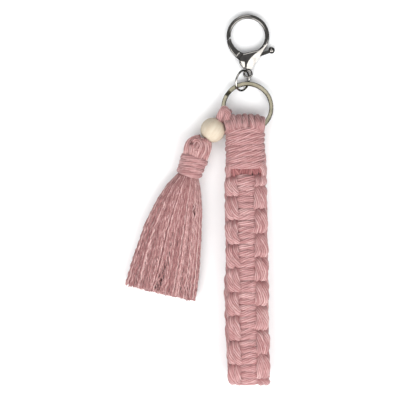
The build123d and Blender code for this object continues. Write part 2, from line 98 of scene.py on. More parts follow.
def smooth(route, spacing):
    """A curve through the route's points, sampled evenly."""
    points = np.asarray(route, float)
    padded = np.vstack([2 * points[0] - points[1], points, 2 * points[-1] - points[-2]])
    a, b, c, d = (padded[start:start + len(points) - 1, None, :] for start in range(4))
    share = np.linspace(0, 1, CURVE_SAMPLES, endpoint=False)[None, :, None]
    cubic = 2 * b + (c - a) * share + (2 * a - 5 * b + 4 * c - d) * share ** 2
    cubic = (cubic + (3 * b - a - 3 * c + d) * share ** 3) / 2
    samples = np.vstack([cubic.reshape(-1, 3), points[-1]])
    along = np.r_[0, np.cumsum(np.linalg.norm(np.diff(samples, axis=0), axis=1))]
    count = max(4, int(round(along[-1] / spacing)) + 1)
    places = np.linspace(0, along[-1], count)
    return np.stack([np.interp(places, along, samples[:, i]) for i in range(3)], 1), places


def frames(curve, up):
    """Tangents and two crosswise directions at every sample; up steers the first."""
    tangents = np.gradient(curve, axis=0)
    tangents /= np.linalg.norm(tangents, axis=1)[:, None]
    if up is None:
        start = vec(0, 0, 1) if abs(tangents[0][2]) < 0.8 else vec(1, 0, 0)
        normals = []
        normal = start
        for tangent in tangents:
            normal = unit(normal - tangent * normal.dot(tangent))
            normals.append(normal)
        normals = np.array(normals)
    else:
        ups = np.broadcast_to(up, curve.shape)
        normals = ups - tangents * (ups * tangents).sum(1)[:, None]
        normals /= np.linalg.norm(normals, axis=1)[:, None]
    return normals, np.cross(tangents, normals)


class CordMesh:
    """Gathers cords and makes one mesh of closed tubes from them.

    Each point keeps where it lies on its yarns (fibre), how much painted shade it gets,
    darkest between two yarns and near shaded cord ends (groove), and its yarn's own
    random tint (tone), for the cotton material.
    """

    def __init__(self):
        self.points, self.fibres, self.grooves, self.tones = [], [], [], []
        self.loops, self.sizes = [], []
        self.count = 0

    def add(self, route, radius, yarns=10, sides=50, spacing=0.42, depth=0.24, flat=1.0,
            up=None, lay=LAY, tone=None, place=None, tips=None):
        """One cord along the route. place turns route space into the object's space.

        radius is one number, or one for each point of the route. The tip lengths are the
        stretches at the start and the end that get painted shade, as dark as between the yarns.
        """
        flat_curve, along = smooth(route, spacing)
        curve = flat_curve
        if place is not None:
            curve = np.array([place(*point) for point in flat_curve])
        if callable(up):
            up = np.array([up(*point) for point in flat_curve])
        normals, binormals = frames(curve, up)
        rings = len(curve)
        if not np.isscalar(radius):
            steps = np.linalg.norm(np.diff(np.asarray(route, float), axis=0), axis=1)
            marks = np.r_[0, np.cumsum(steps)] / steps.sum() * along[-1]
            radius = np.interp(along, marks, radius)
        mean = float(np.mean(radius))
        swell = 1 + CORD_SWELL * np.sin(along * rng.uniform(0.35, 0.7) + rng.uniform(0, TURN))
        angle = np.linspace(0, TURN, sides, endpoint=False)[None, :]
        wander = YARN_WANDER * np.sin(along * rng.uniform(0.2, 0.5) + rng.uniform(0, TURN))
        turn = lay * along + wander + rng.uniform(0, TURN)
        slot = (angle - turn[:, None]) * yarns / TURN
        number = np.round(slot).astype(int) % yarns
        groove = np.abs(slot - np.round(slot)) * 2
        proud = rng.normal(0, YARN_PROUD, yarns)[number]
        size = (radius * swell)[:, None] * (1 + depth * (proud + YARN_CROWN - groove ** 2))
        across = size * np.cos(angle) * flat
        beside = size * np.sin(angle)
        ring_points = (curve[:, None, :] + across[:, :, None] * normals[:, None, :]
                       + beside[:, :, None] * binormals[:, None, :])
        yarn_angle = angle - turn[:, None]
        fibre = np.stack([
            np.broadcast_to(along[:, None] + rng.uniform(0, 400), yarn_angle.shape),
            mean * np.cos(yarn_angle),
            mean * np.sin(yarn_angle),
        ], 2)
        shade = rng.normal(0, 0.6) if tone is None else tone
        self.points.append(ring_points.reshape(-1, 3))
        self.fibres.append(fibre.reshape(-1, 3))
        # Painted shade: darkest between the yarns, and over a stretch at each shaded end of the cord.
        shadow = groove ** 2
        if tips:
            start_share = along / tips[0]
            end_share = (along[-1] - along) / tips[1]
            nearest_end = np.minimum(start_share, end_share)[:, None]
            shadow = np.maximum(shadow, np.clip(TIP_SHADE - nearest_end, 0, 1))
        self.grooves.append(shadow.reshape(-1))
        self.tones.append((shade + rng.normal(0, 1, yarns)[number]).reshape(-1))
        base = self.count + np.arange(rings - 1)[:, None] * sides
        here = np.arange(sides)[None, :]
        ahead = (here + 1) % sides
        quads = np.stack([base + here, base + ahead, base + ahead + sides, base + here + sides], 2)
        self.loops.append(quads.reshape(-1))
        self.sizes.append(np.full((rings - 1) * sides, 4))
        first = self.count + np.arange(sides)[::-1]
        last = self.count + (rings - 1) * sides + np.arange(sides)
        self.loops.extend([first, last])
        self.sizes.append(np.array([sides, sides]))
        self.count += rings * sides

    def piece(self, name, material):
        """The mesh as a named object. What would go through the table lies flat on it."""
        points = np.concatenate(self.points)
        points[:, 2] = np.maximum(points[:, 2], TABLE_GAP)
        mesh = bpy.data.meshes.new(name)
        loops = np.concatenate(self.loops).astype(np.int32)
        sizes = np.concatenate(self.sizes).astype(np.int32)
        mesh.vertices.add(len(points))
        mesh.vertices.foreach_set("co", (points * MM).astype(np.float32).reshape(-1))
        mesh.loops.add(len(loops))
        mesh.loops.foreach_set("vertex_index", loops)
        mesh.polygons.add(len(sizes))
        mesh.polygons.foreach_set("loop_start", np.r_[0, np.cumsum(sizes)[:-1]].astype(np.int32))
        mesh.update(calc_edges=True)
        mesh.validate()
        mesh.polygons.foreach_set("use_smooth", np.ones(len(sizes), bool))
        for label, kind, values in (
            ("fibre", "FLOAT_VECTOR", np.concatenate(self.fibres)),
            ("groove", "FLOAT", np.concatenate(self.grooves)),
            ("tone", "FLOAT", np.concatenate(self.tones)),
        ):
            layer = mesh.attributes.new(label, kind, "POINT")
            key = "vector" if kind == "FLOAT_VECTOR" else "value"
            layer.data.foreach_set(key, values.astype(np.float32).reshape(-1))
        mesh.materials.append(material)
        obj = bpy.data.objects.new(name, mesh)
        bpy.context.scene.collection.objects.link(obj)
        return obj


# ---- materials ----------------------------------------------------------------------


def new_material(name):
    """A material with its node tree, its Principled node and a function that adds nodes."""
    material = bpy.data.materials.new(name)
    material.use_nodes = True
    nodes = material.node_tree.nodes
    shader = nodes["Principled BSDF"]

    def add(kind, **values):
        node = nodes.new(kind)
        for key, value in values.items():
            setattr(node, key, value)
        return node

    return material, shader, add, material.node_tree.links.new


def ramp(add, stops):
    """A colour ramp from (position, colour) pairs."""
    node = add("ShaderNodeValToRGB")
    elements = node.color_ramp.elements
    while len(elements) < len(stops):
        elements.new(0.5)
    for element, (position, colour) in zip(elements, stops):
        element.position = position
        element.color = (*colour, 1)
    return node


def cotton(name, dark, middle, light, groove_shade_colour, groove_shade_share=0.85, fine=1.0):
    """Twisted cotton: fibres run along the yarns; painted shade darkens the colour between the yarns
    and at shaded cord ends.
    """
    material, shader, add, link = new_material(name)
    fibre = add("ShaderNodeAttribute", attribute_name="fibre")
    groove = add("ShaderNodeAttribute", attribute_name="groove")
    tone = add("ShaderNodeAttribute", attribute_name="tone")
    stretch = add("ShaderNodeMapping")
    stretch.inputs["Scale"].default_value = (0.22, 2.6 * fine, 2.6 * fine)
    link(fibre.outputs["Vector"], stretch.inputs["Vector"])
    strands = add("ShaderNodeTexNoise")
    strands.inputs["Scale"].default_value = 1.0
    strands.inputs["Detail"].default_value = 4.0
    strands.inputs["Roughness"].default_value = 0.62
    link(stretch.outputs["Vector"], strands.inputs["Vector"])
    patches = add("ShaderNodeTexNoise")
    patches.inputs["Scale"].default_value = 0.35
    patches.inputs["Detail"].default_value = 2.0
    link(fibre.outputs["Vector"], patches.inputs["Vector"])
    mixed = add("ShaderNodeMath", operation="MULTIPLY_ADD")
    link(tone.outputs["Fac"], mixed.inputs[0])
    mixed.inputs[1].default_value = 0.055
    link(strands.outputs["Fac"], mixed.inputs[2])
    drift = add("ShaderNodeMath", operation="MULTIPLY_ADD")
    link(patches.outputs["Fac"], drift.inputs[0])
    drift.inputs[1].default_value = 0.25
    link(mixed.outputs["Value"], drift.inputs[2])
    shades = ramp(add, [(0.42, dark), (0.62, middle), (0.82, light)])
    link(drift.outputs["Value"], shades.inputs["Fac"])
    # Painted shade: the colour is pulled towards the shade colour between the yarns and at shaded cord
    # ends.
    painted_groove_shade = add("ShaderNodeMath", operation="POWER", use_clamp=True)
    link(groove.outputs["Fac"], painted_groove_shade.inputs[0])
    painted_groove_shade.inputs[1].default_value = 1.3
    share = add("ShaderNodeMath", operation="MULTIPLY")
    link(painted_groove_shade.outputs["Value"], share.inputs[0])
    share.inputs[1].default_value = groove_shade_share
    blend = add("ShaderNodeMix", data_type="RGBA")
    link(share.outputs["Value"], blend.inputs["Factor"])
    link(shades.outputs["Color"], blend.inputs["A"])
    blend.inputs["B"].default_value = (*groove_shade_colour, 1)
    link(blend.outputs["Result"], shader.inputs["Base Color"])
    bump = add("ShaderNodeBump")
    bump.inputs["Strength"].default_value = 0.8
    bump.inputs["Distance"].default_value = 0.0004
    link(strands.outputs["Fac"], bump.inputs["Height"])
    link(bump.outputs["Normal"], shader.inputs["Normal"])
    rough = add("ShaderNodeMapRange")
    rough.inputs["To Min"].default_value = 0.78
    rough.inputs["To Max"].default_value = 0.98
    link(strands.outputs["Fac"], rough.inputs["Value"])
    link(rough.outputs["Result"], shader.inputs["Roughness"])
    shader.inputs["Sheen Weight"].default_value = 0.25
    shader.inputs["Sheen Roughness"].default_value = 0.5
    shader.inputs["Specular IOR Level"].default_value = 0.2
    return material


def nickel(name, colour, worn, rough_low, rough_high, scale=900.0):
    """Plated metal with a faint cloudiness and hairline wear."""
    material, shader, add, link = new_material(name)
    place = add("ShaderNodeTexCoord")
    cloud = add("ShaderNodeTexNoise")
    cloud.inputs["Scale"].default_value = 260.0
    cloud.inputs["Detail"].default_value = 3.0
    link(place.outputs["Object"], cloud.inputs["Vector"])
    squeeze = add("ShaderNodeMapping")
    squeeze.inputs["Scale"].default_value = (scale, scale * 0.12, scale)
    link(place.outputs["Object"], squeeze.inputs["Vector"])
    hair = add("ShaderNodeTexNoise")
    hair.inputs["Scale"].default_value = 1.0
    hair.inputs["Detail"].default_value = 5.0
    link(squeeze.outputs["Vector"], hair.inputs["Vector"])
    shades = ramp(add, [(0.35, worn), (0.6, colour)])
    link(cloud.outputs["Fac"], shades.inputs["Fac"])
    link(shades.outputs["Color"], shader.inputs["Base Color"])
    rough = add("ShaderNodeMapRange")
    rough.inputs["To Min"].default_value = rough_low
    rough.inputs["To Max"].default_value = rough_high
    link(hair.outputs["Fac"], rough.inputs["Value"])
    link(rough.outputs["Result"], shader.inputs["Roughness"])
    bump = add("ShaderNodeBump")
    bump.inputs["Strength"].default_value = 0.06
    bump.inputs["Distance"].default_value = 0.0001
    link(hair.outputs["Fac"], bump.inputs["Height"])
    link(bump.outputs["Normal"], shader.inputs["Normal"])
    shader.inputs["Metallic"].default_value = 1.0
    shader.inputs["Specular Tint"].default_value = (0.15, 0.15, 0.15, 1)
    return material


def bare_wood(name, grain_turn):
    """Pale sanded wood: long grain along the bore, small pores and a soft cloud."""
    material, shader, add, link = new_material(name)
    place = add("ShaderNodeTexCoord")
    turn = add("ShaderNodeMapping")
    turn.inputs["Rotation"].default_value = (0, 0, grain_turn)
    link(place.outputs["Object"], turn.inputs["Vector"])
    stretch = add("ShaderNodeMapping")
    stretch.inputs["Scale"].default_value = (90.0, 620.0, 620.0)
    link(turn.outputs["Vector"], stretch.inputs["Vector"])
    grain = add("ShaderNodeTexNoise")
    grain.inputs["Scale"].default_value = 1.0
    grain.inputs["Detail"].default_value = 6.0
    grain.inputs["Roughness"].default_value = 0.65
    link(stretch.outputs["Vector"], grain.inputs["Vector"])
    rings = add("ShaderNodeTexWave", wave_type="BANDS", bands_direction="Y")
    rings.inputs["Scale"].default_value = 95.0
    rings.inputs["Distortion"].default_value = 3.5
    rings.inputs["Detail"].default_value = 3.0
    link(turn.outputs["Vector"], rings.inputs["Vector"])
    both = add("ShaderNodeMath", operation="MULTIPLY_ADD")
    link(rings.outputs["Fac"], both.inputs[0])
    both.inputs[1].default_value = 0.06
    link(grain.outputs["Fac"], both.inputs[2])
    shades = ramp(add, [
        (0.34, (0.53, 0.435, 0.32)), (0.56, (0.575, 0.495, 0.385)), (0.8, (0.61, 0.55, 0.44)),
    ])
    link(both.outputs["Value"], shades.inputs["Fac"])
    link(shades.outputs["Color"], shader.inputs["Base Color"])
    bump = add("ShaderNodeBump")
    bump.inputs["Strength"].default_value = 0.12
    bump.inputs["Distance"].default_value = 0.0001
    link(grain.outputs["Fac"], bump.inputs["Height"])
    link(bump.outputs["Normal"], shader.inputs["Normal"])
    rough = add("ShaderNodeMapRange")
    rough.inputs["To Min"].default_value = 0.5
    rough.inputs["To Max"].default_value = 0.68
    link(grain.outputs["Fac"], rough.inputs["Value"])
    link(rough.outputs["Result"], shader.inputs["Roughness"])
    return material


# The last colour of each cotton is painted shade, for between the yarns and for shaded cord ends.
CORD_PINK = cotton(
    "cotton_cord", (0.37, 0.18, 0.178), (0.51, 0.285, 0.28), (0.68, 0.455, 0.44),
    (0.17, 0.045, 0.045), groove_shade_share=0.95
)
# A darker copy of the cord cotton: painted shade for the cords that lie inside the strap and the wrap.
SHADED_CORE_PINK = cotton(
    "cotton_core_painted_shade", (0.31, 0.11, 0.11), (0.37, 0.15, 0.15), (0.43, 0.2, 0.19), (0.2, 0.06, 0.06)
)
YARN_PINK = cotton(
    "cotton_yarn", (0.255, 0.105, 0.105), (0.45, 0.235, 0.228), (0.74, 0.495, 0.475),
    (0.12, 0.03, 0.03), groove_shade_share=0.85, fine=1.4
)


# ---- the strap's own space ------------------------------------------------------------

ACROSS = unit(vec(*JOINTS["ring_pivot"]["axis"]))
ALONG = unit(np.cross(vec(0, 0, 1), ACROSS))          # towards the clasp
UP = vec(0, 0, 1)
PIVOT_LINE = joint_at("ring_pivot")
UPPER_START = joint_at("loop_open")
UPPER_MIDDLE = joint_at("upper_middle_bend")
FOLD_TOP = joint_at("fold_top_bend")
FOLD_BOTTOM = joint_at("fold_bottom_bend")
LOWER_MIDDLE = joint_at("lower_middle_bend")
ARM = np.linalg.norm(UPPER_MIDDLE - UPPER_START)
KNOTS_PER_ARM = 4
PITCH = ARM / KNOTS_PER_ARM
FOLD_RADIUS = (FOLD_TOP - FOLD_BOTTOM)[2] / 2
FOLD_CENTRE = (FOLD_TOP + FOLD_BOTTOM) / 2
FOLD_LENGTH = math.pi * FOLD_RADIUS
LOWER_BOW = -1.4               # how far the lower layer bows out to the left beyond the upper one
BOW_LENGTH = 1.1 * ARM
UPPER_DOWN = unit(FOLD_TOP - UPPER_START)
UPPER_OUT = unit(np.cross(UPPER_DOWN, ACROSS))


def strap_line(distance):
    """Middle of the strap and its outward normal, that far along the loop from the wrap."""
    if distance <= 2 * ARM:
        return UPPER_START + UPPER_DOWN * distance, UPPER_OUT
    if distance <= 2 * ARM + FOLD_LENGTH:
        angle = (distance - 2 * ARM) / FOLD_RADIUS
        out = UP * math.cos(angle) - ALONG * math.sin(angle)
        return FOLD_CENTRE + out * FOLD_RADIUS, out
    return FOLD_BOTTOM + ALONG * (distance - 2 * ARM - FOLD_LENGTH), -UP


def strap_point(across, distance, out):
    """A point of the strap: across it, along the loop from the wrap, and out of its middle."""
    middle, normal = strap_line(distance)
    share = min(max((distance - 2 * ARM - FOLD_LENGTH) / BOW_LENGTH, 0.0), 1.0)
    bow = LOWER_BOW * math.sin(math.pi * share) ** 0.6
    return middle + ACROSS * (across + bow) + normal * out


def strap_out(across, distance, out):
    """The way out of the strap there; it is called with the three places of a route's point."""
    return strap_line(distance)[1]


# ---- the wrist loop's knots -----------------------------------------------------------

BUMP_RADIUS = 2.2
BAR_RADIUS = 2.15
BUMP_FLAT = 0.84               # a side cord's height over its width where it is pulled down
BAR_FLAT = 0.74
HALF_PITCH = PITCH / 2
KNOT_COUNT = 4 * KNOTS_PER_ARM + 2
LEFT_CREASE = -1.2             # the left bumps start this far before a pitch
LOWER_FROM = 2 * KNOTS_PER_ARM + 1
LOWER_NARROW = 0.97            # width of the inner faces and the lower layer, as a share
# A side bump's two cords: (across, share of the way to the next crease, out, thickness).
OUTER_CORD = [
    (7.4, 0.0, -1.3, 0.75), (8.6, 0.09, 0.0, 0.95), (9.7, 0.26, 0.95, 1.0), (10.0, 0.5, 1.25, 1.0),
    (9.8, 0.74, 1.35, 1.02), (8.9, 0.89, 1.1, 0.98), (7.6, 0.975, 0.1, 0.85), (6.6, 1.01, -1.3, 0.7),
]
INNER_CORD = [
    (5.3, 0.0, -1.1, 0.75), (6.2, 0.09, 0.4, 0.95), (6.8, 0.26, 1.3, 1.0), (6.9, 0.5, 1.6, 1.0),
    (6.5, 0.74, 1.65, 1.02), (5.6, 0.89, 1.35, 0.98), (4.5, 0.975, 0.3, 0.85), (3.6, 1.01, -1.1, 0.7),
]
BAR_CORD = [(-5.6, -0.3), (-4.3, 0.9), (-2.2, 1.3), (0.0, 1.4), (2.2, 1.3), (4.3, 0.9), (5.6, -0.3)]
BAR_END = BAR_CORD[-1][0]
BAR_PLACES = (0.26, 0.74)      # a bar's two cords, as shares of the way between two creases
EDGE_RADIUS = 1.55
EDGE_HIDDEN = (6.0, 3.4)       # how far the edge cords reach into the wrap, upper and lower layer
FIRST_CUT = 2.8                # the first left bump starts this much late, clear of the wrap
FIRST_BAR_CUT = 1.7
FIRST_RIGHT = (0.9, 0.6, 1.7)  # the short first right bump: start, shortening and thickness
BAR_SLOPE = 0.04
BEND_BEFORE = 3.5              # the span at the wrap's hinge: from this far before the hinge line
BEND_AFTER = 5                 # to this far after it
FOLD_BEND = 4                  # on the fold's side of its hinges
KNOT_BEND = 0.62 * PITCH       # to each side of the other hinges


def side_bump(cords, side, crease, length, level, radius=BUMP_RADIUS, narrow=1.0):
    """The doubled cord that turns round one edge of the strap between two creases."""
    swing = rng.normal(0, 0.22)
    for outline in (OUTER_CORD, INNER_CORD):
        route = []
        for across, share, out, _ in outline:
            shake = rng.normal(0, 0.15, 3)
            along = crease + share * length + swing + shake[1]
            wide = narrow * across + shake[0]
            route.append((side * wide, along, level * out + 0.5 * shake[2]))
        radii = radius * rng.uniform(0.95, 1.04) * np.array([row[3] for row in outline])
        # Painted shade at the bump's ends, darkest where it comes out from under the bump before it.
        cords.add(route, radii, flat=BUMP_FLAT, up=strap_out, place=strap_point, tips=(5.5, 2.6),
                  depth=0.3)


def centre_bar(cords, start, length, slope, level, radius=BAR_RADIUS):
    """The doubled cord that crosses the filler cords between two creases."""
    bow = rng.normal(0, 0.2)
    for share in BAR_PLACES:
        middle = start + share * length
        route = []
        for across, out in BAR_CORD:
            shake = rng.normal(0, 0.12, 3)
            along = middle + slope * across + bow * (1 - (across / BAR_END) ** 2) + shake[1]
            route.append((across + shake[0], along, level * out + 0.4 * shake[2]))
        # Painted shade at the bar's ends, where it meets the side bumps.
        cords.add(route, radius * rng.uniform(0.95, 1.03), flat=BAR_FLAT, up=strap_out,
                  place=strap_point, tips=(2.9, 2.9), depth=0.34, lay=PULLED_LAY)


def edge_cords(cords, start, sign, hidden):
    """The cords that come out of the wrap at the strap's two edges, hidden that far inside it."""
    for side in (-1, 1):
        route = [(side * 8.0, start - sign * hidden, 0.0), (side * 9.9, start - sign * 2.4, 0.6),
                 (side * 9.9, start + sign * 0.8, 0.6), (side * 9.1, start + sign * 3.5, 0.0)]
        cords.add(route, EDGE_RADIUS, place=strap_point, up=strap_out)


def knot(index):
    """Everything of one knot: bars and bumps on its outer and inner face."""
    cords = CordMesh()
    start = index * PITCH
    first = index == 0
    for level in (1, -1):
        offset = 0 if level == 1 else HALF_PITCH
        left = start + offset + LEFT_CREASE
        cut = FIRST_CUT if first and level == 1 else 0
        narrow = 1.0 if level == 1 and index < LOWER_FROM else LOWER_NARROW
        side_bump(cords, -1, left + cut, PITCH - cut, level, narrow=narrow)
        side_bump(cords, 1, start + offset + HALF_PITCH, PITCH, level, narrow=narrow)
        if first:
            late, shorter, radius = FIRST_RIGHT
            side_bump(cords, 1, start + late, HALF_PITCH - shorter, level, radius)
        begin = FIRST_BAR_CUT if first else 0
        centre_bar(cords, start + begin + LEFT_CREASE / 2, HALF_PITCH - begin, BAR_SLOPE, level)
        centre_bar(cords, start + HALF_PITCH, HALF_PITCH + LEFT_CREASE / 2, -BAR_SLOPE, level)
    if first:
        edge_cords(cords, start, 1, EDGE_HIDDEN[0])
    if index == KNOT_COUNT - 1:
        edge_cords(cords, start + PITCH, -1, EDGE_HIDDEN[1])
    return cords.piece(f"square_knot_{index + 1:02d}", CORD_PINK)


def make_knots():
    """All knots, each riding on its body, or left where it lies if it sits at a hinge."""
    upper, lower = UPPER_DOWN * KNOT_BEND, ALONG * KNOT_BEND
    hinges = {
        0: ("strap_head", "upper_near", UPPER_START, UPPER_DOWN * BEND_BEFORE, UPPER_DOWN * BEND_AFTER),
        3: ("upper_near", "upper_far", UPPER_MIDDLE, upper, upper),
        7: ("upper_far", "fold", FOLD_TOP, upper, -ALONG * FOLD_BEND),
        9: ("fold", "lower_far", FOLD_BOTTOM, ALONG * FOLD_BEND, lower),
        13: ("lower_far", "lower_near", LOWER_MIDDLE, lower, lower),
    }
    # The knots on both sides of a hinge are listed with it, and left in place too.
    hinges[4], hinges[8], hinges[10], hinges[14] = hinges[3], hinges[7], hinges[9], hinges[13]
    bodies = ["upper_near"] * KNOTS_PER_ARM + ["upper_far"] * KNOTS_PER_ARM + ["fold"] * 2
    bodies += ["lower_far"] * KNOTS_PER_ARM + ["lower_near"] * KNOTS_PER_ARM
    for index in range(KNOT_COUNT):
        piece = knot(index)
        if index in hinges:
            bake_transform(piece)
        else:
            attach(piece, bodies[index])
        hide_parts(f"knot_{index + 1:02d}")


FILLER_PLACES = (-2.3, 0.0, 2.3)
FILLER_RADIUS = 1.15
FILLER_STEP = 6                # between the points of a filler cord's route
FILLER_INSET = 0.5             # each filler cord ends this far before its hinge lines


def make_cores():
    """The filler cords, one piece for each rigid stretch."""
    ends = [0, ARM, 2 * ARM, 2 * ARM + FOLD_LENGTH, 3 * ARM + FOLD_LENGTH, 4 * ARM + FOLD_LENGTH]
    names = ["upper_near", "upper_far", "fold", "lower_far", "lower_near"]
    for name, low, high in zip(names, ends[:-1], ends[1:]):
        cords = CordMesh()
        for across in FILLER_PLACES:
            count = max(4, int((high - low) / FILLER_STEP))
            length = high - low - 2 * FILLER_INSET
            route = [(across, low + FILLER_INSET + length * k / count, 0) for k in range(count + 1)]
            cords.add(route, FILLER_RADIUS, yarns=5, sides=20, spacing=1.0, up=strap_out,
                      place=strap_point)
        # Darker core cotton: painted shade.
        piece = cords.piece(f"filler_cords_{name}", SHADED_CORE_PINK)
        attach(piece, name)
        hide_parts(f"core_{name}")


# ---- the head: wrap, anchor loops and the strands between -------------------------------


def head_point(across, along, up):
    """A point from the split ring's pivot line: across the strap, towards the clasp, up."""
    return PIVOT_LINE + ACROSS * across + ALONG * along + UP * up


WRAP_TURNS = 7
WRAP_RADIUS = 2.3
WRAP_FLAT = 0.76               # how far the wound cord is pressed flat
WRAP_HALF = (9.65, 5.45)       # half width and half height of the wound cord's middle line
WRAP_FIRST = -1.95             # the first turn's middle, from the split ring's pivot line
WRAP_STEP = 3.33
WRAP_SAMPLES = 36              # route points for each turn
WRAP_SQUARE = (0.62, 0.72)     # below 1 makes the turns boxy: across, and up
WRAP_UNEVEN = (0.012, 0.12)    # how much the turns differ in width, and stray along the head


def wrap_out(across, along, up):
    """The way out of the head at a point of the wound cord."""
    return unit(ACROSS * (across / WRAP_HALF[0]) ** 3 + UP * (up / WRAP_HALF[1]) ** 3)


def make_wrap():
    """The cord wound round the head, seven turns side by side."""
    cords = CordMesh()
    route = []
    for k in range(WRAP_TURNS * WRAP_SAMPLES + 1):
        turn = k / WRAP_SAMPLES
        angle = TURN * turn - math.pi / 2
        swell = 1 + WRAP_UNEVEN[0] * math.sin(2.1 * turn)
        c, s = math.cos(angle), math.sin(angle)
        across = WRAP_HALF[0] * swell * math.copysign(abs(c) ** WRAP_SQUARE[0], c)
        up = WRAP_HALF[1] * math.copysign(abs(s) ** WRAP_SQUARE[1], s)
        along = WRAP_FIRST - WRAP_STEP * (turn - 0.5) + WRAP_UNEVEN[1] * math.sin(3.3 * turn + 1)
        along = min(max(along, WRAP_FIRST - WRAP_STEP * (WRAP_TURNS - 1)), WRAP_FIRST)
        route.append((across, along, up))
    cords.add(route, WRAP_RADIUS, flat=WRAP_FLAT, up=wrap_out, place=head_point, depth=0.32,
              lay=PULLED_LAY)
    piece = cords.piece("wound_wrap", CORD_PINK)
    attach(piece, "strap_head")
    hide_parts("wrap_cord")


# Each anchor loop: middle across, its foot's sideways step, height and thickness.
ANCHOR_LOOPS = [
    (-10.0, 0.0, 0.72, 1.5),
    (-6.9, 0.2, 0.98, 1.85),
    (-3.4, 0.0, 0.99, 1.8),
    (0.1, 0.1, 1.03, 1.85),
    (3.3, 0.9, 1.04, 1.75),
    (7.2, 0.3, 0.95, 1.95),
    (10.1, -0.2, 0.76, 1.65),
]
ANCHOR_BEND = 5.75             # a loop's radius round the split ring's pivot line
# A leg from its hidden end inside the wrap: (share of the loop's place across, along, up).
ANCHOR_LEG = [(0.68, -7.0, 1.6), (0.78, -4.2, 2.4), (0.95, -1.7, 4.3)]


def make_anchor_loops():
    """The cords folded over the split ring."""
    nodes = sorted(node for node in frame["nodes"] if node.startswith("anchor_loop"))
    for number, (across, step, height, radius) in enumerate(ANCHOR_LOOPS):
        cords = CordMesh()
        foot = across + step
        route = [(share * foot, along, up) for share, along, up in ANCHOR_LEG]
        for degrees in range(80, -81, -20):
            angle = math.radians(degrees)
            drift = step * max(0.0, math.sin(angle))
            route.append((
                across + drift, ANCHOR_BEND * height * math.cos(angle),
                ANCHOR_BEND * math.sin(angle),
            ))
        route += [(share * across, along, -up) for share, along, up in reversed(ANCHOR_LEG)]
        # Painted shade along the legs, where the loop goes into the wrap.
        cords.add(route, radius, up=ACROSS, flat=0.98, place=head_point, tips=(9.5, 9.5), depth=0.3)
        piece = cords.piece(f"anchor_cord_{number + 1}", CORD_PINK)
        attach(piece, "strap_head")
        if number < len(nodes):
            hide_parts(nodes[number])


STRAND_RADIUS = 1.15
STRAND_ROWS = [(-2.4, -20.2), (0.0, -22.6), (2.4, -22.6)]      # (up, where the row ends)


def make_head_strands():
    """The strands inside the wrap. The lower row ends early, for more room when the loop opens."""
    cords = CordMesh()
    for across in np.arange(-7.0, 7.1, 2.3):
        for up, end in STRAND_ROWS:
            route = [(across, along, up) for along in (-3.5, -10, -17, end)]
            cords.add(route, STRAND_RADIUS, yarns=5, sides=16, spacing=1.2, place=head_point)
    # Darker core cotton: painted shade.
    piece = cords.piece("strands_in_wrap", SHADED_CORE_PINK)
    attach(piece, "strap_head")
    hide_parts("head_strands")


ENTRY_RADIUS = 1.35
ENTRY_HIDDEN = (6.5, 3.6)      # how far they reach into the wrap, upper and lower layer


def entry_cords(name, start, sign, hidden):
    """The filler strands between the wrap and the nearest knot."""
    cords = CordMesh()
    for across in np.arange(-8.6, 8.7, 1.9):
        lean = rng.normal(0, 1.0)
        low = rng.normal(0, 0.25)
        route = [
            (across - lean, start - sign * hidden, -0.6),
            (across - 0.6 * lean, start - sign * hidden / 2, low),
            (across + 0.5 * lean, start, 0.2 + low), (across + lean, start + sign * 2.5, 0.0),
        ]
        cords.add(route, ENTRY_RADIUS, yarns=5, sides=30, place=strap_point, up=strap_out,
                  depth=0.32)
    # Darker core cotton: painted shade.
    return cords.piece(name, SHADED_CORE_PINK)


def make_entries():
    """The short strands at both places where the wrist loop enters the wrap."""
    upper = entry_cords("entry_strands_upper", 0, 1, ENTRY_HIDDEN[0])
    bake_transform(upper)
    lower = entry_cords("entry_strands_lower", 4 * ARM + FOLD_LENGTH, -1, ENTRY_HIDDEN[1])
    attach(lower, "lower_near")


# ---- tassel ---------------------------------------------------------------------------

CONTACT = joint_at("tassel_swing")
BEAD_MIDDLE = joint_at("bead_spin")
HANGER_ALONG = unit((BEAD_MIDDLE - CONTACT) * vec(1, 1, 0))
HANGER_BESIDE = np.cross(UP, HANGER_ALONG)


def hanger_point(along, beside, up):
    """A point from the tassel's place on the split ring: towards the bead, beside, up."""
    return CONTACT + HANGER_ALONG * along + HANGER_BESIDE * beside + UP * up


# The bight that lies over the ring, from where the cord rises beside the bead:
# right, towards the clasp and up from the middle of the ring's wire.
BIGHT = [
    (-2.6, -4.2, 0.4), (-2.5, -2.6, 2.9), (-2.2, -0.6, 4.0), (-1.3, 1.6, 4.0), (-0.3, 3.1, 3.4),
    (0.8, 1.9, 4.2), (1.7, 0.2, 4.7), (1.9, -1.6, 4.8), (1.8, -3.6, 4.0), (1.5, -5.6, 2.6),
    (1.0, -7.2, 0.0),
]
BIGHT_RADII = [1.6, 1.9, 2.0, 1.8, 1.5, 1.8, 2.0, 2.1, 2.0, 1.8, 1.5]


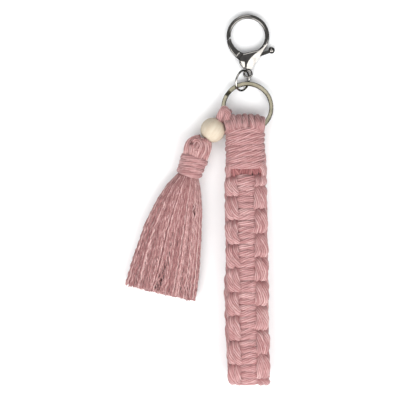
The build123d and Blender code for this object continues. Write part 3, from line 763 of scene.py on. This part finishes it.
def make_hanger():
    """The cord looped on the split ring in a lark's head, and its two legs in the bead."""
    rise = BEAD_MIDDLE[2] - CONTACT[2]
    reach = np.linalg.norm((BEAD_MIDDLE - CONTACT)[:2]) + 6.4
    half = [
        (reach, -0.95, rise, 1.15), (reach - 4, -1.0, rise, 1.15), (6.4, -1.05, rise, 1.2),
        (4.4, -1.4, rise + 0.2, 1.5), (2.2, -1.6, 2.5, 1.6), (0.0, -1.6, 2.9, 1.6),
        (-2.0, -1.6, 2.0, 1.6), (-2.8, -1.6, -0.2, 1.55), (-2.1, -1.6, -2.4, 1.55),
        (0.2, -1.7, -2.9, 1.5), (2.0, -1.9, -2.0, 1.5),
    ]
    cords = CordMesh()
    for side in (-1, 1):
        route = [(along, side * beside, up) for along, beside, up, _ in half]
        cords.add(route, [row[3] for row in half], place=hanger_point)
    cords.add(BIGHT, BIGHT_RADII, flat=0.85, up=UP, place=lambda x, y, z: CONTACT + vec(x, y, z))
    piece = cords.piece("larks_head_cord", CORD_PINK)
    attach(piece, "hanger")
    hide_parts("hanger_cord")


BINDING_LOW, BINDING_HIGH = box_mm("tassel_binding")
BINDING_MIDDLE = (BINDING_LOW + BINDING_HIGH) / 2
BINDING_TURN = math.radians(-19.5)     # from straight down, towards the left
SKIRT_TURN = math.radians(-13.3)
SKIRT_LENGTH = 69.6
BINDING_LENGTH = 11.3
BINDING_TURNS = 4
BINDING_SAMPLES = 30           # route points for each turn
BINDING_RADIUS = 1.85
BINDING_HALF = (6.6, 5.75)     # half width and half height of the bound cord's middle line
BINDING_END = 1.4              # from the binding's ends to its outer turns' middles


def turned(angle):
    """Down and right directions of a piece that leans by angle from straight down."""
    return vec(math.sin(angle), -math.cos(angle), 0), vec(math.cos(angle), math.sin(angle), 0)


BINDING_DOWN, BINDING_RIGHT = turned(BINDING_TURN)
SKIRT_DOWN, SKIRT_RIGHT = turned(SKIRT_TURN)
NECK_TOP = BINDING_MIDDLE - BINDING_DOWN * BINDING_LENGTH / 2
NECK_END = BINDING_MIDDLE + BINDING_DOWN * BINDING_LENGTH / 2


# Thick folds over the head: places across and towards the bead from the dome's middle, and
# the fold's thickness.
FOLDS = [
    ([(-4.2, 1.8), (-3.2, -1.0), (-2.4, -3.0), (-1.8, -5.4)], 1.5),
    ([(0.4, 6.0), (2.9, 3.4), (3.3, 0.4), (2.7, -2.2), (1.7, -5.4)], 1.6),
    ([(1.2, 7.0), (4.4, 5.1), (5.9, 1.8), (6.0, -1.4), (5.6, -5.4)], 1.75),
    ([(-0.6, 7.0), (-3.6, 5.3), (-5.6, 2.4), (-5.9, -1.0), (-5.2, -5.2)], 1.7),
    ([(-4.6, 2.6), (-2.4, 4.9), (0.4, 4.0), (1.0, 1.2), (-1.0, -0.8)], 1.4),
]
DOME = (7.3, 8.2, 5.9)         # half sizes of the dome that the folds lie on
DOME_AHEAD = 4.2               # from the neck's top to the dome's middle, towards the bead
CROWN_BACK = 8.0               # from the bead's middle to where the head's strands start
HEAD_LAYERS = ((0.74, 20), (0.92, 34))         # scale and number of strands
HEAD_RADIUS = 0.92


def make_folds(cords, dome_middle):
    """The thick swirled folds on the head's upper face."""
    for outline, radius in FOLDS:
        route = []
        for across, ahead in outline:
            room = 1 - (across / DOME[0]) ** 2 - (ahead / DOME[1]) ** 2
            point = dome_middle + BINDING_RIGHT * across - BINDING_DOWN * ahead
            route.append(point + UP * DOME[2] * math.sqrt(max(room, 0.0)))
        # Painted shade at each fold's ends.
        cords.add(route, radius, yarns=8, sides=48, lay=LAY * 0.5, depth=0.36, tips=(1.5, 1.5))


def make_head():
    """The folded strands above the binding, fanned over a dome from where the cord enters."""
    cords = CordMesh()
    towards_bead = unit((BEAD_MIDDLE - NECK_TOP) * vec(1, 1, 0))
    crown = BEAD_MIDDLE - towards_bead * CROWN_BACK
    crown[2] = BINDING_MIDDLE[2] + 0.4
    dome_middle = NECK_TOP - BINDING_DOWN * DOME_AHEAD
    make_folds(cords, dome_middle)
    for layer, (scale, count) in enumerate(HEAD_LAYERS):
        for k in range(count):
            angle = TURN * (k + 0.5 * layer) / count + rng.normal(0, 0.05)
            c, s = math.cos(angle), math.sin(angle)
            rim = NECK_TOP + BINDING_DOWN * 1.5 + (BINDING_RIGHT * c * 5.9 + UP * s * 5.7) * scale
            belly = dome_middle + (BINDING_RIGHT * c * 7.4 + UP * s * 6.9) * scale
            belly = belly + BINDING_DOWN * rng.normal(0, 0.3)
            lift = -BINDING_DOWN * 4.9
            shoulder = dome_middle + lift + (BINDING_RIGHT * (c * 5.4 + 1.4) + UP * s * 5.2) * scale
            start = crown + (BINDING_RIGHT * c * 1.1 + UP * s * 1.6) * scale
            near = (start + shoulder) / 2 + (UP * s * 1.6 - BINDING_DOWN * 1.3) * scale
            cords.add([start, near, shoulder, belly, rim], HEAD_RADIUS * rng.uniform(0.85, 1.1),
                      yarns=4, sides=16, spacing=0.6, depth=0.2)
    piece = cords.piece("folded_strands", YARN_PINK)
    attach(piece, "tassel")
    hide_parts("tassel_head")


def make_binding():
    """The cord bound round the tassel's neck."""
    cords = CordMesh()
    route = []
    for k in range(BINDING_TURNS * BINDING_SAMPLES + 1):
        turn = k / BINDING_SAMPLES
        angle = TURN * turn - math.pi / 2
        wide = BINDING_HALF[0] - 0.22 * turn + 0.15 * math.sin(4.0 * turn)
        share = min(max((turn - 0.5) / (BINDING_TURNS - 1), 0), 1)
        down = BINDING_END + (BINDING_LENGTH - 2 * BINDING_END) * share
        down += 0.35 * math.sin(angle)
        point = NECK_TOP + BINDING_DOWN * down + BINDING_RIGHT * math.cos(angle) * wide
        point = point + UP * math.sin(angle) * BINDING_HALF[1]
        route.append(point)
    middle = BINDING_MIDDLE * vec(1, 1, 0) + NECK_TOP * vec(0, 0, 1)

    def out(*point):
        across = vec(*point) - middle
        return unit(across - BINDING_DOWN * across.dot(BINDING_DOWN))

    cords.add(route, BINDING_RADIUS, flat=0.78, up=out, depth=0.3)
    piece = cords.piece("bound_cord", CORD_PINK)
    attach(piece, "tassel")
    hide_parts("tassel_binding")


# The fringe's outline: distance down, half width, half height, middle's offset across.
FRINGE = vec(
    -8.0, 4.0, 4.0, 0.0,
    0.0, 5.6, 5.4, 0.0,
    8.0, 9.7, 6.6, -0.8,
    18.0, 13.0, 6.9, -1.1,
    34.0, 16.8, 6.5, -1.3,
    52.0, 19.1, 6.0, -0.6,
    70.0, 20.7, 5.6, -0.2,
).reshape(-1, 4)
INNER_STRANDS = 520
OUTER_STRANDS = 132
INNER_REACH = 0.88             # how far out the inner strands lie, as a share of the outline
FRINGE_RADIUS = 0.43
FRINGE_PIECES = 4
LOCKS = 46
LOCK_PULL = 0.07               # how far strands draw together in their lock at the hem
LOCK_SWAY = 0.2
LOCK_LIFT = 0.12
STRAND_WAVE = (0.12, 0.4)      # the least and the most that a strand is crinkled
HEM_SPREAD = 0.5               # how unevenly the strands are cut
PARTED_ABOVE = -0.35           # only strands this high in the fringe, or higher, are parted


def golden_disc(count):
    """Points spread evenly over a unit disc."""
    numbers = np.arange(count)
    angle = numbers * math.pi * (3 - math.sqrt(5))
    reach = np.sqrt((numbers + 0.5) / count)
    return np.stack([reach * np.cos(angle), reach * np.sin(angle)], 1)


def outline_spots(count):
    """Points spread evenly along the fringe's outline, as places on the unit circle."""
    angle = np.linspace(0, TURN, 721)
    wide, tall = FRINGE[-1, 1:3]
    steps = np.hypot(np.diff(wide * np.cos(angle)), np.diff(tall * np.sin(angle)))
    along = np.r_[0, np.cumsum(steps)]
    places = (np.arange(count) + 0.5) / count * along[-1]
    spread = np.interp(places, along, angle)
    return np.stack([np.cos(spread), np.sin(spread)], 1)


# Partings in the fringe's upper layer: where each begins and ends (distance down, across),
# how far it pushes strands aside, and whether it stays open at its end.
PARTINGS = [((49.0, -0.7), (70.0, -2.6), 1.5, True), ((14.0, 6.6), (24.0, 9.2), 0.8, False)]


def parted(down, across):
    """How far a strand moves sideways because of the partings near it."""
    push = np.zeros_like(down)
    for (begin, left), (end, right), amount, stays_open in PARTINGS:
        share = np.clip((down - begin) / (end - begin), 0, 1)
        opening = np.sqrt(share) if stays_open else np.sin(math.pi * share)
        off = across - (left + (right - left) * share)
        push += amount * opening * np.tanh(off / 0.4) * np.exp(-(off / 3.0) ** 2)
    return push


def make_fringe():
    """The cut strands, spread flat towards the hem, crinkled and gathered in loose locks."""
    pieces = [CordMesh() for _ in range(FRINGE_PIECES)]
    locks = golden_disc(LOCKS)
    phases = rng.uniform(0, TURN, (LOCKS, 2))
    down = np.r_[-7.0, -3.0, np.arange(0.0, SKIRT_LENGTH - 1, 1.3), SKIRT_LENGTH]
    share = np.maximum(0, down / SKIRT_LENGTH)
    wide, tall, offset = (np.interp(down, FRINGE[:, 0], FRINGE[:, i]) for i in (1, 2, 3))
    for spot in np.vstack([golden_disc(INNER_STRANDS) * INNER_REACH, outline_spots(OUTER_STRANDS)]):
        nearest = int(np.argmin(((locks - spot) ** 2).sum(1)))
        own = rng.uniform(0, TURN, 2)
        wave = rng.uniform(*STRAND_WAVE)
        pitch = rng.uniform(0.7, 1.5)
        pull = LOCK_PULL * share[:, None]
        place = spot * (1 - pull) + locks[nearest] * pull
        side = LOCK_SWAY * share ** 0.7 * np.sin(down * 0.15 + phases[nearest][0])
        side += wave * share ** 0.4 * np.sin(down * pitch + own[0])
        lift = LOCK_LIFT * share ** 0.7 * np.sin(down * 0.2 + phases[nearest][1])
        lift += 0.8 * wave * share ** 0.4 * np.sin(down * pitch * 1.1 + own[1])
        lift += rng.normal(0, 0.22)
        across = place[:, 0] * wide + offset + side
        if spot[1] > PARTED_ABOVE:
            across = across + parted(down, across)
        depth = down.copy()
        depth[-1] += rng.normal(0, HEM_SPREAD)
        height = tall + FRINGE_RADIUS * 0.4 + place[:, 1] * (tall - FRINGE_RADIUS) + lift
        height = np.maximum(height, FRINGE_RADIUS)
        route = NECK_END * vec(1, 1, 0) + SKIRT_DOWN * depth[:, None]
        route = route + SKIRT_RIGHT * across[:, None] + UP * height[:, None]
        layer = min(int((spot[1] + 1) / 2 * FRINGE_PIECES), FRINGE_PIECES - 1)
        pieces[layer].add(route, FRINGE_RADIUS * rng.uniform(0.85, 1.15), yarns=2, sides=7,
                          spacing=1.1, depth=0.25, lay=LAY * 3, tone=rng.normal(0, 1.5))
    for number, cords in enumerate(pieces):
        piece = cords.piece(f"fringe_{number + 1}", YARN_PINK)
        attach(piece, "tassel")
        if number == 0:
            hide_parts("tassel_skirt")


# ---- metal and wood ---------------------------------------------------------------------


def finish_hard_parts():
    """Plating and bare wood on the carried-over hard parts."""
    clasp = nickel("clasp_plate", (0.26, 0.248, 0.233), (0.19, 0.18, 0.167), 0.02, 0.06)
    wire = nickel("wire_plate", (0.52, 0.505, 0.475), (0.42, 0.405, 0.375), 0.05, 0.12)
    ring = nickel("ring_plate", (0.175, 0.16, 0.12), (0.13, 0.12, 0.088), 0.08, 0.16)
    grain = math.atan2(HANGER_ALONG[1], HANGER_ALONG[0])
    wood = bare_wood("bead_wood", -grain)
    finishes = {
        "clasp_body": clasp, "clasp_gate": clasp, "gate_pivot_pin": clasp, "swivel_eye": clasp,
        "jump_ring": wire, "gate_spring": wire, "split_ring": ring, "wooden_bead": wood,
    }
    for node, material in finishes.items():
        obj = frame["nodes"][node]
        for place in obj.material_slots:
            place.material = material


# ---- studio -----------------------------------------------------------------------------

VIEW_WIDTH = 230.8             # millimetres of the object across the picture
VIEW_LEVEL = 0.008             # height at which that width is seen, in metres
LENS = 500.0
SENSOR = 36.0
TABLE_HALF = 2.0               # metres
TABLE_DROP = 0.0001            # below the object's lowest point, so that the two don't flicker


def make_stage():
    """A pale table."""
    mesh = bpy.data.meshes.new("table")
    half = TABLE_HALF
    corners = [(-half, -half, 0), (half, -half, 0), (half, half, 0), (-half, half, 0)]
    mesh.from_pydata(corners, [], [(0, 1, 2, 3)])
    table = bpy.data.objects.new("table", mesh)
    table.location.z = -TABLE_DROP
    table.visible_glossy = False
    bpy.context.scene.collection.objects.link(table)
    material, shader, _, _ = new_material("pale_table")
    shader.inputs["Base Color"].default_value = (0.93, 0.93, 0.93, 1)
    shader.inputs["Roughness"].default_value = 0.9
    shader.inputs["Specular IOR Level"].default_value = 0.1
    mesh.materials.append(material)


def area_light(name, place, size, power):
    """A soft box that looks at the middle of the table."""
    data = bpy.data.lights.new(name, "AREA")
    data.shape = "RECTANGLE"
    data.size, data.size_y = size
    data.energy = power
    lamp = bpy.data.objects.new(name, data)
    bpy.context.scene.collection.objects.link(lamp)
    lamp.location = place
    direction = -vec(*place)
    lamp.rotation_euler = (
        0, math.atan2(math.hypot(direction[0], direction[1]), -direction[2]),
        math.atan2(-direction[1], -direction[0]),
    )


def make_room():
    """A soft white room whose walls fall off to dark below the table's level."""
    world = bpy.data.worlds.new("room")
    bpy.context.scene.world = world
    world.use_nodes = True
    nodes, link = world.node_tree.nodes, world.node_tree.links.new
    background = nodes["Background"]
    place = nodes.new("ShaderNodeTexCoord")
    split = nodes.new("ShaderNodeSeparateXYZ")
    link(place.outputs["Generated"], split.inputs["Vector"])
    level = nodes.new("ShaderNodeMapRange")
    level.inputs["From Min"].default_value = -0.05
    level.inputs["From Max"].default_value = 0.35
    level.inputs["To Min"].default_value = 0.03
    level.inputs["To Max"].default_value = 0.28
    link(split.outputs["Z"], level.inputs["Value"])
    link(level.outputs["Result"], background.inputs["Strength"])
    background.inputs["Color"].default_value = (0.97, 0.98, 1.0, 1)


def make_studio():
    """Camera straight above, three soft boxes and a soft white room."""
    make_room()
    area_light("front_left", (-0.44, -0.5, 0.72), (0.8, 0.8), 8.3)
    area_light("front_right", (0.46, -0.45, 0.72), (0.85, 0.85), 9.6)
    area_light("back_fill", (-0.1, 0.75, 0.9), (0.9, 0.4), 3.4)
    camera_data = bpy.data.cameras.new("camera")
    camera_data.lens = LENS
    camera_data.sensor_width = SENSOR
    camera_data.clip_end = 20.0
    camera = bpy.data.objects.new("camera", camera_data)
    bpy.context.scene.collection.objects.link(camera)
    distance = LENS / SENSOR * VIEW_WIDTH * MM
    camera.location = (0, 0, distance + VIEW_LEVEL)
    bpy.context.scene.camera = camera
    bpy.context.scene.view_settings.view_transform = "Standard"
    bpy.context.scene.view_settings.look = "None"


make_studio()
make_stage()
make_knots()
make_cores()
make_wrap()
make_anchor_loops()
make_head_strands()
make_entries()
make_hanger()
make_head()
make_binding()
make_fringe()
finish_hard_parts()
